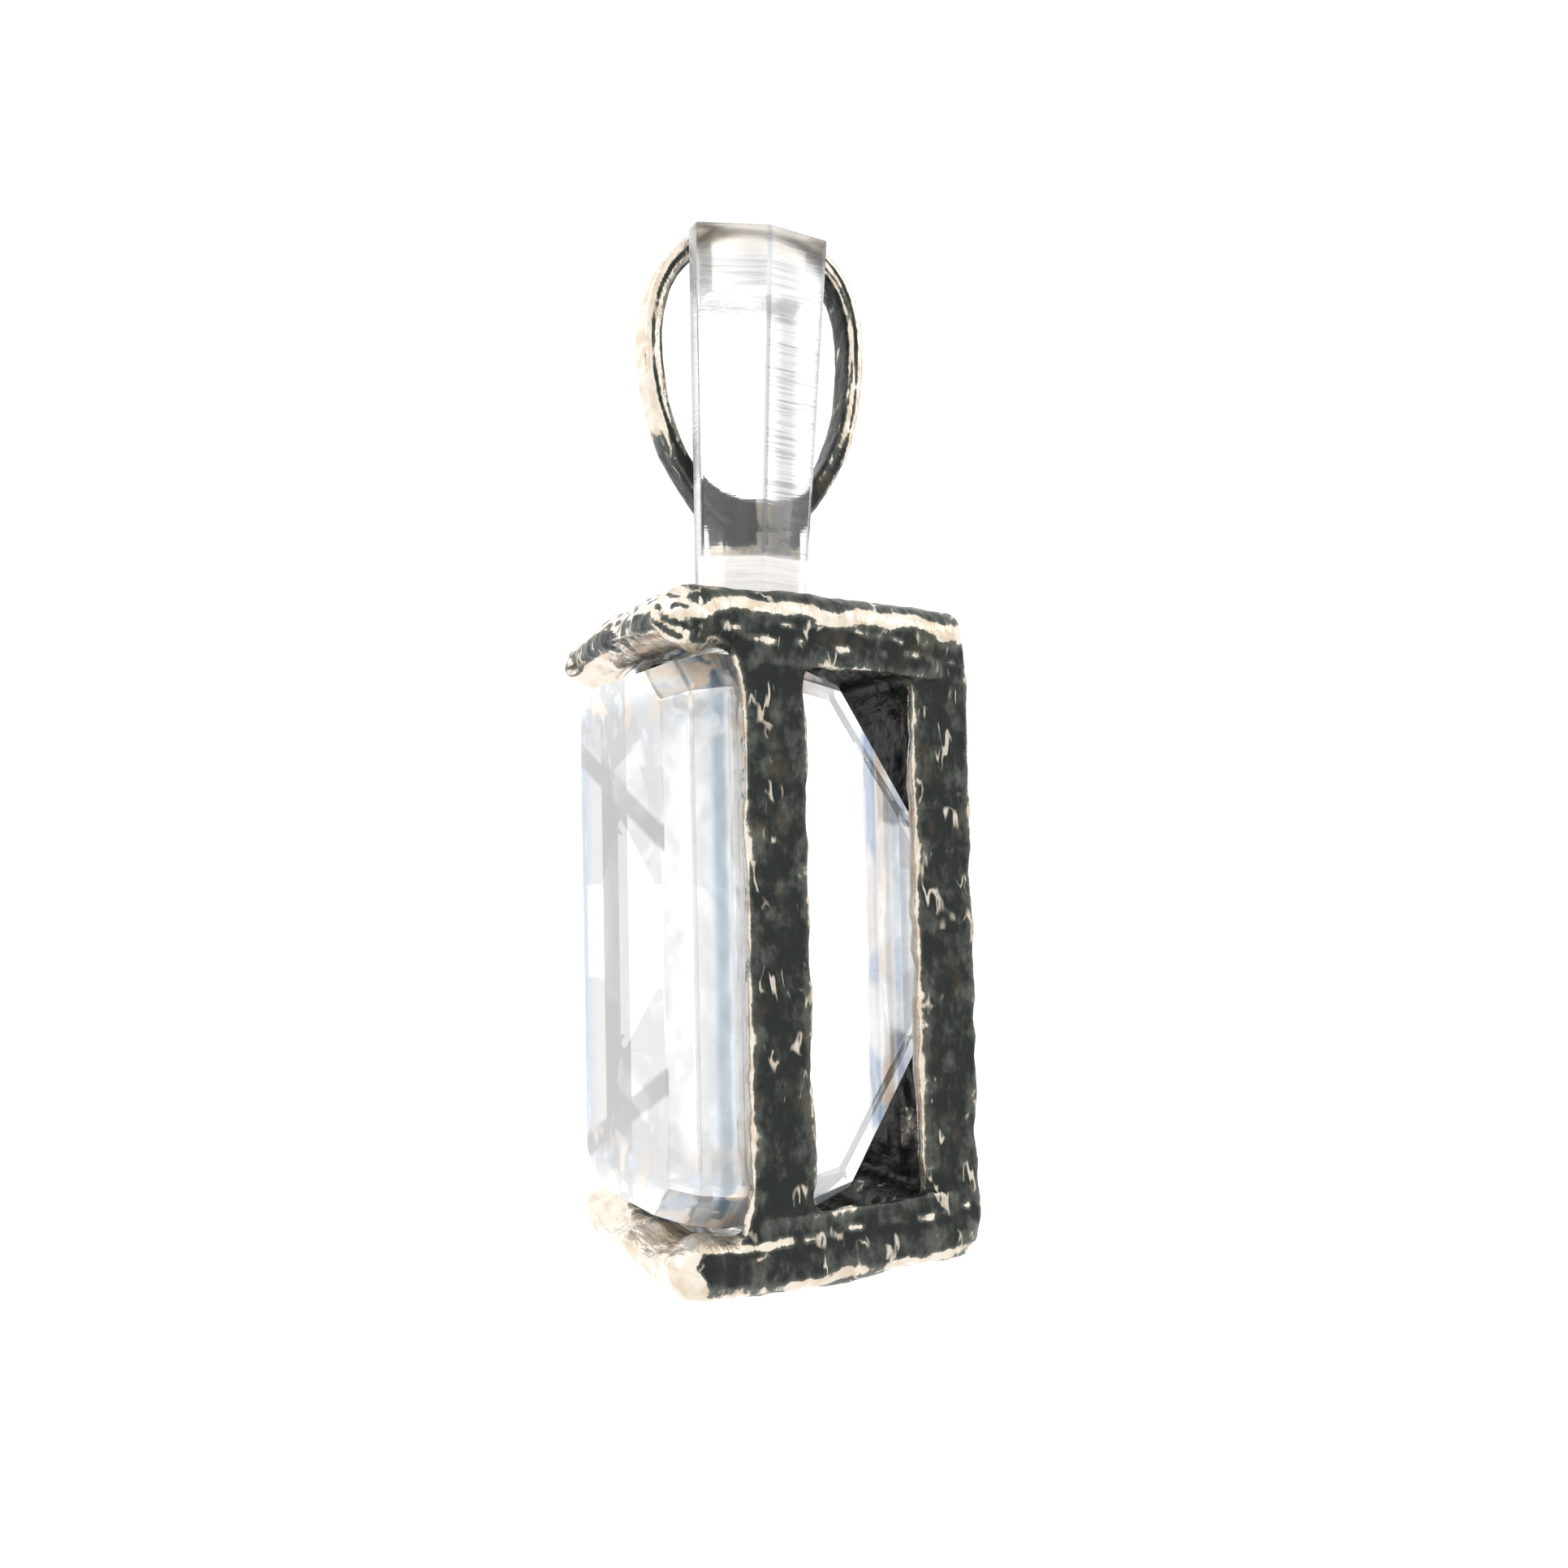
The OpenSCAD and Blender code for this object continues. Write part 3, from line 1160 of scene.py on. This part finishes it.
class CageWearAndPaintedLight:
    """Where the cage's blackening is rubbed off, with painted highlights and painted light laid over it:
    about 1 where it is bright, -1 where it is black.
    """

    GROUND = -0.62
    BRIGHTEST = 1.25
    # Weights; the lines, dashes and thread, the upper bar's underside, the inside walls and the lip's glow
    # are painted highlights and painted light
    LOWER_BAR, LOWER_PECKS = 1.7, 0.35
    UPPER_BAR, UPPER_BLOTS, UPPER_PECKS, UPPER_UNDERSIDE = 1.15, 1.1, 0.85, 0.5
    LINE, DASHES, THREAD, HOLLOW = 1.5, 1.35, 0.9, 1.6
    OUTER_RIM, POST_FRONTS, POST_BACKS, SIDES = 0.45, 0.8, 0.55, 0.10
    INSIDE, LIPS, LIP_GLOW = 2.2, 0.4, 1.45

    # Depths of the two painted highlight lines, the dashes and the thread below the bars' outer faces
    TOP_LINE, FOOT_LINE, DASH_DEPTH, THREAD_DEPTH = 0.80, 0.34, 2.0, 1.35
    HOLLOW_BEHIND, HOLLOW_DEPTH = 1.0, 1.45
    WAVES = ((0.16, 1.1, 1.0), (0.10, 2.7, 0.4))

    # Where the ends, the front bars, their corners and the outer faces start and are full
    END_DEPTH: Span = (2.6, 2.0)
    BAR_DEPTH: Span = (3.2, 2.8)
    BAR_BEHIND: Span = (2.7, 2.0)
    CORNER_OUTWARD: Span = (0.80, 0.50)
    CORNER_BEHIND: Span = (1.1, 0.7)
    OUTER_INSET: Span = (1.2, 0.7)
    # How far a face's normal points a way before the face counts as looking that way
    LOOKING: Span = (0.5, 0.9)

    BLOTS = (
        Blot(-2.3, (1.7, 2.9), -0.15, (0.35, 0.65), ragged=0.5),
        Blot(1.6, (0.2, 0.45), 0.1, (0.2, 0.45)),
        Blot(3.9, (0.4, 1.3), -0.05, (0.15, 0.60), share=0.7),
    )

    def __init__(self, cage: SilverCage, skin: Skin) -> None:
        """Say which part of the cage each point belongs to.

        Args:
            cage: The cage, for its sizes.
            skin: Its points and normals, before the bars are bent.
        """
        self.cage = cage
        self.x, self.y, self.z = skin.points.T
        nx, self.ny, self.nz = skin.normals.T
        self.lower = self.z < (cage.top + cage.foot) / 2
        self.depth = np.where(self.lower, self.z - cage.foot, cage.top - self.z)
        self.behind = self.y - cage.front
        self.inset = cage.half_w - np.abs(self.x)
        self.outward = np.sign(self.x) * nx
        self.up = np.where(self.lower, -self.nz, self.nz)
        self.ends = ease(self.depth, *self.END_DEPTH)
        self.top_end, self.foot_end = self.ends * ~self.lower, self.ends * self.lower
        corner = ease(self.outward, *self.CORNER_OUTWARD) + ease(self.behind, *self.CORNER_BEHIND)
        bar = ease(self.depth, *self.BAR_DEPTH) * ease(self.behind, *self.BAR_BEHIND)
        self.front_bar = bar * np.minimum(corner, 1.0)
        self.outer_face = ease(self.inset, *self.OUTER_INSET)

    def front_bars(self) -> np.ndarray:
        """Rub the bars across the front: the lower one smooth, the upper one with black blots and pecks, and
        paint a highlight on the upper one's underside.

        Returns:
            What the front bars add to the wear and painted light.
        """
        x, y, z = self.x, self.y, self.z
        blots = sum(blot.at(x, z, self.nz) for blot in self.BLOTS)
        pecks = np.sin(3.1 * x + 1.3 * np.sin(4.0 * z)) * np.sin(8.3 * z + 5.0 * y + 1.7 * np.sin(2.3 * x))
        pecks = ease(pecks, 0.15, 0.55) * ease(x, -2.5, 0.0)
        upper = self.UPPER_BAR - self.UPPER_BLOTS * np.minimum(blots, 1.0) - self.UPPER_PECKS * pecks
        # Painted highlight on the downward faces of the upper bar, where shading would fall
        upper += self.UPPER_UNDERSIDE * ease(-self.nz, 0.55, 0.85)
        return self.front_bar * np.where(self.lower, self.LOWER_BAR - self.LOWER_PECKS * pecks, upper)

    def side_highlights(self) -> np.ndarray:
        """Paint a wavy highlight line and highlight dashes along each side bar and back bar, and a highlight
        thread on the top ones.

        Returns:
            What the side and back bars add to the wear and painted light.
        """
        along = np.where(self.y > self.cage.back - 0.6, self.x, self.y)
        wave = ripple(along, *self.WAVES)
        gaps = 0.65 + 0.35 * np.sin(2.3 * along + 1.2) * np.sin(0.9 * along)
        # Painted highlight lines, one on the top bars and one, with gaps, on the foot's
        line = self.top_end * near(self.depth - wave, self.TOP_LINE, 0.04, 0.42)
        line += self.foot_end * near(self.depth - 0.6 * wave, self.FOOT_LINE, 0.06, 0.40) * gaps
        line *= ease(self.behind, 0.1, 1.0) * (1 - 0.75 * self.front_bar) * self.LINE
        broken = np.sin(4.1 * along + 0.7 * self.x) + ripple(along, (0.8, 6.7, 2.0), (0.5, 1.9, 0.0))
        broken += self.foot_end * ease(self.y, 1.0, -3.5) * 2.5
        dashes = near(self.depth - 0.5 * wave, self.DASH_DEPTH, 0.04, 0.24) * ease(broken, -0.8, 1.2)
        thread = near(self.depth + 0.9 * wave, self.THREAD_DEPTH, 0.03, 0.16) * ease(-broken, -0.6, 1.0)
        line += (1 - self.front_bar) * (self.DASHES * dashes + self.THREAD * self.top_end * thread)
        # A black hollow where the lower front bar meets the side bar
        away = np.hypot(self.behind - self.HOLLOW_BEHIND, self.depth - self.HOLLOW_DEPTH)
        hollow = self.foot_end * ease(away, 0.60, 0.25)
        return self.outer_face * (self.ends * line - self.HOLLOW * hollow)

    def inside(self) -> np.ndarray:
        """Paint light on the walls that face the stone, so that they show bright through it, and keep the
        back lips black.

        Returns:
            What the faces inside the cage add to the wear and painted light.
        """
        # Painted light on the walls and floors that face the stone
        walls = (1 - self.ends) * ease(-self.outward, 0.4, 0.8)
        within = ease(self.inset, 1.0, 1.5)
        floors = ease(-self.up, *self.LOOKING) * ease(self.y, 1.6, 0.8) * ease(self.y, -3.6, -2.4)
        under = ease(-self.up, 0.2, 0.6) * ease(self.ny, 0.2, 0.6) * ease(self.behind, 3.0, 2.4)
        lips = ease(-self.ny, *self.LOOKING) * ease(self.y, 4.0, 5.0) * ease(self.inset, 0.9, 1.3)
        # Painted light: the foot's back lip glows on the near side
        glow = near(self.z, self.cage.foot + 4.45, 0.80, 0.95) * ease(self.x, 1.0, 1.4)
        bright = np.maximum(walls, self.ends * within * np.maximum(floors, under))
        return self.INSIDE * bright * (1 - lips) - (self.LIPS - self.LIP_GLOW * glow) * lips

    def values(self) -> np.ndarray:
        """Put the parts together.

        Returns:
            The rubbed wear and painted light of each point.
        """
        posts = (1 - self.ends) * self.outer_face
        value = self.GROUND + self.front_bars() + self.side_highlights()
        value += self.ends * (1 - self.front_bar) * ease(self.up, 0.8, 0.98) * self.OUTER_RIM
        # Narrow faces of the posts that look forward, then those that look back
        value += posts * ease(-self.ny, *self.LOOKING) * self.POST_FRONTS
        value = np.minimum(value, self.BRIGHTEST) + posts * ease(self.ny, *self.LOOKING) * self.POST_BACKS
        value += self.outer_face * ease(self.outward, 0.3, 0.9) * self.SIDES
        return value + self.inside()


@dataclass
class SilverLoop:
    """The egg-shaped loop and the block that joins it to the cage."""

    cage_top: float
    outer_r: float = 4.9
    height: float = 13.35
    top_h: float = 5.1
    square: float = 2.3
    thick: float = 0.85
    foot_thick: float = 1.75
    wide: float = 1.5
    pinch: float = 0.30
    inner_pinch: float = 0.05
    lean: float = 0.30
    aside: float = 0.12
    foot_w: float = 3.0
    sink: float = 0.6
    grain: float = 0.085
    corner: float = 4.5
    block_inset: float = 0.06

    # How much each part of the loop is rubbed or blackened, how much painted shading its inner faces get, and
    # where its dark legs and bright block lie
    ground: float = 0.12
    outer_bright: float = 0.75
    edge_bright: float = 0.55
    inner_shading: float = 0.75
    groove_black: float = 1.5
    leg_black: float = 1.5
    stripe_bright: float = 0.4
    legs: Span = (-7.35, -9.55)
    stripe_y: float = 0.45
    stripe_half: Span = (0.45, 0.70)
    stripe_z: Span = (-10.1, -10.9)
    groove_inset: float = 0.40
    second_inset: float = 0.66

    def centre_z(self) -> float:
        """Return the height of the loop's widest line."""
        return self.thick - self.top_h

    def reach(self, angle: np.ndarray, inset: float | np.ndarray) -> tuple[np.ndarray, np.ndarray]:
        """Find the points of the egg.

        Args:
            angle: The turn of each point from +Y, in radians.
            inset: How far inside the outer edge the egg runs.

        Returns:
            The points' distances along Y and Z from the middle of the widest line.
        """
        across, up = np.cos(angle), np.sin(angle)
        low = up < 0
        share = inset / self.thick
        down = np.where(low, self.height - self.top_h - share * self.foot_thick, self.top_h - inset)
        pinch = self.pinch + share * (self.inner_pinch - self.pinch)
        squeeze = np.where(low, 1 - pinch * up**2, 1.0)
        sway = np.where(low, self.aside * (1 + up), self.aside + self.lean * up)
        squarish = [np.sign(part) * np.abs(part) ** (2 / self.square) for part in (across, up)]
        return (self.outer_r - inset) * squarish[0] * squeeze + sway, down * squarish[1]

    def band(self) -> bpy.types.Object:
        """Bend a ring into the egg and square up its section.

        Returns:
            The loop's band.
        """
        Bench.clear()
        ring_r = 10.0
        bpy.ops.mesh.primitive_torus_add(
            major_segments=160, minor_segments=28, major_radius=ring_r, minor_radius=1.0
        )
        band = bpy.context.object
        for vertex in band.data.vertices:
            x, y, z = vertex.co
            turn = math.atan2(y, x)
            out, side = math.hypot(x, y) - ring_r, z
            stretch = (abs(out) ** self.corner + abs(side) ** self.corner) ** (-1 / self.corner)
            inset = self.thick / 2 * (1 - out * stretch)
            across, up = self.reach(np.array([turn]), inset)
            vertex.co = (side * stretch * self.wide / 2, across[0], self.centre_z() + up[0])
        with Bench.editing(band):
            bpy.ops.mesh.normals_make_consistent(inside=False)
        return band

    def wear_and_painted_light(self, skin: Skin) -> np.ndarray:
        """Say where the loop is bright: above, and in a block at its foot, but not on its lower legs; its
        inner faces get painted shading.

        Args:
            skin: The loop's points and normals.

        Returns:
            For each point, about 1 where it is bright and -1 where it is black.
        """
        x, y, z = skin.points.T
        nx = skin.normals[:, 0]
        rise_z = z - self.centre_z()
        radial = np.hypot(y, rise_z)
        out = (skin.normals[:, 1] * y + skin.normals[:, 2] * rise_z) / np.maximum(radial, 0.1)
        rim_y, rim_z = self.reach(np.linspace(-math.pi, math.pi, 361), 0.0)
        turn, turns = np.arctan2(rise_z, y), np.arctan2(rim_z, rim_y)
        order = np.argsort(turns)
        inner = np.interp(turn, turns[order], np.hypot(rim_y, rim_z)[order]) - radial
        bottom = self.thick - self.height
        block = ease(z, bottom + 0.3, bottom - 0.5)
        edge = ease(np.abs(nx), 0.45, 0.8)
        # A dark groove around each flat side, with a fainter one on either side of it where it fades
        fade = 0.85 + ripple(turn, (0.20, 5.0, 0.6), (0.15, 11.0, 0.0))
        drift = ripple(turn, (0.06, 3.0, 1.0))
        groove = near(inner - drift, self.groove_inset, 0.03, 0.12) * fade
        groove += ease(inner, 0.12, 0.03) * (1.1 - fade) * 2.0
        groove += near(inner + drift, self.second_inset, 0.03, 0.10) * (1.05 - fade) * 2.0
        stripe = near(y, self.stripe_y, *self.stripe_half) * ease(z, *self.stripe_z)
        value = self.ground + self.outer_bright * ease(out, 0.0, 0.6) + self.edge_bright * edge
        # Painted shading on the faces inside the loop
        value -= self.inner_shading * ease(-out, 0.3, 0.9)
        value -= ease(np.abs(x), 0.45, 0.62) * groove * self.groove_black
        value -= ease(z, *self.legs) * (1 - np.maximum(block, stripe)) * self.leg_black
        return value + block + stripe * (1 - block) * self.stripe_bright

    def build(self) -> bpy.types.Object:
        """Model the loop with its block.

        Returns:
            The loop.
        """
        bottom = self.thick - self.height
        half = self.wide / 2 - self.block_inset
        block = Bench.block(
            (-half, -self.foot_w / 2, self.cage_top - self.sink),
            (half, self.foot_w / 2, bottom + self.sink),
        )
        loop = Bench.join("silver_loop", [self.band(), block])
        Bench.fuse(loop, self.grain, 3)
        Bench.hammer(loop, "loop_dents", size=1.6, depth=0.12, middle=0.55)
        Bench.hammer(loop, "loop_pecks", size=0.45, depth=0.045, middle=0.55)
        skin = Skin(loop)
        skin.store("rise", skin.rise(RISE_ROUNDS))
        skin.store("wear_and_painted_light", self.wear_and_painted_light(skin))
        Bench.to_metres(loop)
        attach(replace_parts(loop, "setting"), "root")
        return loop


@dataclass(frozen=True)
class EasedCopy:
    """A node's own shape with its sharp edges eased, so that they catch the light."""

    node: str
    name: str
    slot: str
    ease: float
    flat_within: float = math.radians(0.4)
    sharp_from: float = math.radians(2.5)

    def reshape(self, piece: bpy.types.Object) -> None:
        """Leave the copy's shape as it is; a copy that differs from its node moves its points here."""

    def build(self, source: bpy.types.Object) -> bpy.types.Object:
        """Copy the node, merge its faces and ease its edges.

        Args:
            source: The node's object.

        Returns:
            The new piece.
        """
        Bench.hold(source)
        bpy.ops.object.duplicate()
        piece = bpy.context.object
        piece.name = piece.data.name = self.name
        for key in [key for key in piece.keys() if key.startswith("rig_")]:
            del piece[key]
        piece.scale = (1 / MM, 1 / MM, 1 / MM)
        Bench.settle(piece)
        self.reshape(piece)
        with Bench.editing(piece):
            bpy.ops.mesh.remove_doubles(threshold=0.001)
            bpy.ops.mesh.dissolve_limited(angle_limit=self.flat_within)
        limit = {"limit_method": "ANGLE", "angle_limit": self.sharp_from}
        Bench.modify(piece, "BEVEL", width=self.ease, segments=2, **limit)
        Bench.to_metres(piece)
        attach(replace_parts(piece, self.node), "root")
        return piece


@dataclass(frozen=True)
class SnugStone(EasedCopy):
    """The stone, drawn out towards the bowed front bars so that no gap shows, with smaller cut corners."""

    front: float = -5.55
    depths: tuple[float, ...] = (-0.4, 0.8, 2.1, 2.5, 4.6, 7.1)
    widths: tuple[float, ...] = (4.85, 5.18, 5.36, 5.36, 5.15, 4.75)
    growth: tuple[float, ...] = (0.95, 0.80, 0.60, 0.60, 0.70, 0.25)
    corner_x: float = 0.35
    corner_z: float = 0.25
    slack: float = 0.05

    def reshape(self, piece: bpy.types.Object) -> None:
        """Move the outlines of the front steps.

        Args:
            piece: The copy, in millimetres.
        """
        skin = Skin(piece)
        x, y, z = skin.points.T
        middle = (z.max() + z.min()) / 2
        depth = y - self.front
        grown = np.interp(depth, self.depths, self.growth)
        beside = np.abs(x) > np.interp(depth, self.depths, self.widths) - self.slack
        up = np.sign(z - middle) * (grown + beside * (grown > 0) * self.corner_z)
        across = np.sign(x) * ~beside * (grown > 0) * self.corner_x
        skin.move(np.stack([across, np.zeros_like(y), up], axis=1))


def dress(piece: bpy.types.Object, material: bpy.types.Material) -> None:
    """Give a piece one material.

    Args:
        piece: A new piece or a CAD node's object.
        material: What it is made of.
    """
    if not piece.material_slots:
        piece.data.materials.append(material)
    for slot in piece.material_slots:
        slot.material = material
    LOG.info("%s is dressed in %s", piece.name, material.name)


# Studio and camera

@dataclass
class PhotoCamera:
    """The photograph's camera, fitted to the cage; its distances are in millimetres."""

    azimuth: float = 65.842
    elevation: float = -2.861
    roll: float = -1.231
    distance: float = 65.113
    aim: Point = (6.144, -5.55, -22.40)
    pixels: float = 1932.0
    focal_pixels: float = 2039.12
    sensor: float = 36.0

    def build(self) -> bpy.types.Object:
        """Add the camera and make it the scene's own.

        Returns:
            The camera.
        """
        turn, tilt, roll = (math.radians(value) for value in (self.azimuth, self.elevation, self.roll))
        ahead = Vector((-math.sin(turn) * math.cos(tilt), math.cos(turn) * math.cos(tilt), -math.sin(tilt)))
        right = Vector((math.cos(turn), math.sin(turn), 0.0))
        up = right.cross(ahead)
        across = right * math.cos(roll) + up * math.sin(roll)
        above = -right * math.sin(roll) + up * math.cos(roll)
        along, start, level = self.aim
        eye = right * along + Vector((0.0, start, level)) - ahead * self.distance
        bpy.ops.object.camera_add()
        camera = bpy.context.object
        camera.name = "photo_camera"
        turned = Matrix((across, above, -ahead)).transposed()
        camera.matrix_world = Matrix.Translation(eye * MM) @ turned.to_4x4()
        camera.data.sensor_width = self.sensor
        camera.data.lens = self.sensor * self.focal_pixels / self.pixels
        camera.data.clip_start = 0.001
        camera.data.clip_end = 10.0
        bpy.context.scene.camera = camera
        return camera


@dataclass(frozen=True)
class Lamp:
    """A soft square lamp: its place and side in metres, its power in watts and its colour."""

    name: str
    place: Point
    size: float
    power: float
    colour: Colour

    def hang(self, aim: Point) -> None:
        """Add the lamp.

        Args:
            aim: The point that it faces, in metres.
        """
        bpy.ops.object.light_add(type="AREA", location=self.place)
        lamp = bpy.context.object
        lamp.name = self.name
        lamp.data.size = self.size
        lamp.data.energy = self.power
        lamp.data.color = self.colour
        lamp.rotation_euler = (Vector(self.place) - Vector(aim)).to_track_quat("Z", "Y").to_euler()


@dataclass
class Studio:
    """A white room that is dimmer on the camera's side, over a plain pale floor."""

    floor_z: float = -0.060
    floor_size: float = 6.0
    glow: float = 1.85
    dim: float = 1.72
    skyline: float = 0.90
    backdrop: float = 1.1
    dim_side: Span = (0.2, 0.85)
    skyline_edge: Span = (0.0, 0.3)
    aim: Point = (0.0, 0.0, -0.022)
    lamps: tuple[Lamp, ...] = (
        Lamp("key_lamp", (-0.05, -0.16, 0.12), 0.10, 0.06, (1.0, 0.98, 0.95)),
        Lamp("rim_lamp", (0.14, 0.16, 0.10), 0.09, 0.05, (1.0, 0.99, 0.97)),
    )

    def room(self, camera: bpy.types.Object) -> None:
        """Light the room.

        Args:
            camera: The camera, whose side of the room is dimmer.
        """
        world = bpy.data.worlds.new("white_room")
        bpy.context.scene.world = world
        world.use_nodes = True
        air = Graph(world.node_tree)
        look = air.make("TexCoord").outputs["Generated"]
        toward = camera.matrix_world.translation.normalized()
        facing = air.make("VectorMath", {"operation": "DOT_PRODUCT"}, {0: look, 1: (toward.x, toward.y, 0.0)})
        glow = self.glow + air.wire(facing, "Value").step(*self.dim_side) * (self.dim - self.glow)
        height = air.axes(look)[2]
        glow = glow * (self.skyline + height.step(*self.skyline_edge) * (1 - self.skyline))
        seen = air.wire(air.make("LightPath"), "Is Camera Ray")
        strength = glow + seen * (self.backdrop - glow)
        back = air.make("Background", None, {"Color": (1.0, 1.0, 1.0, 1.0), "Strength": strength})
        air.make("OutputWorld", None, {"Surface": back.outputs[0]})

    def floor(self) -> None:
        """Lay the pale floor under the pendant."""
        Bench.clear()
        bpy.ops.mesh.primitive_plane_add(size=self.floor_size, location=(0.0, 0.0, self.floor_z))
        floor = bpy.context.object
        floor.name = "pale_floor"
        paper = Finish("pale_paper")
        fibre = paper.noise(paper.place(), Grain(0.05, 4.0))
        colour = paper.layered((0.95, 0.95, 0.95), [(fibre, (0.91, 0.91, 0.91))])
        dress(floor, paper.close(paper.shader({"Base Color": colour, "Roughness": 0.8})))

    def build(self, camera: bpy.types.Object) -> None:
        """Set up the room, the floor and the lamps.

        Args:
            camera: The photograph's camera.
        """
        self.room(camera)
        self.floor()
        for lamp in self.lamps:
            lamp.hang(self.aim)
        view = bpy.context.scene.view_settings
        view.view_transform = "Standard"
        view.look = "None"
        cycles = bpy.context.scene.cycles
        cycles.use_denoising = True
        cycles.max_bounces = 32
        cycles.transmission_bounces = 32
        cycles.glossy_bounces = 8


def main() -> None:
    """Build the pendant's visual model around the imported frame."""
    logging.basicConfig(level=logging.INFO, format="%(name)s: %(message)s")
    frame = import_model()
    camera = PhotoCamera().build()
    Studio().build(camera)

    silver = BlackenedSilver().make()
    cage = SilverCage.from_frame()
    for assembly in (cage, SilverLoop(cage_top=cage.top)):
        piece = assembly.build()
        dress(piece, silver)
        LOG.info("%s has %d points", piece.name, len(piece.data.vertices))
    copies = (
        (SnugStone("stone", "cut_stone", "moissanite", ease=0.02), CutMoissanite()),
        (EasedCopy("clear_strap", "ridged_strap", "clear_plastic", ease=0.09), ClearPlastic.fitted()),
    )
    for copy, finish in copies:
        dress(copy.build(frame["nodes"][copy.node]), finish.make())


if __name__ == "__main__":
    main()
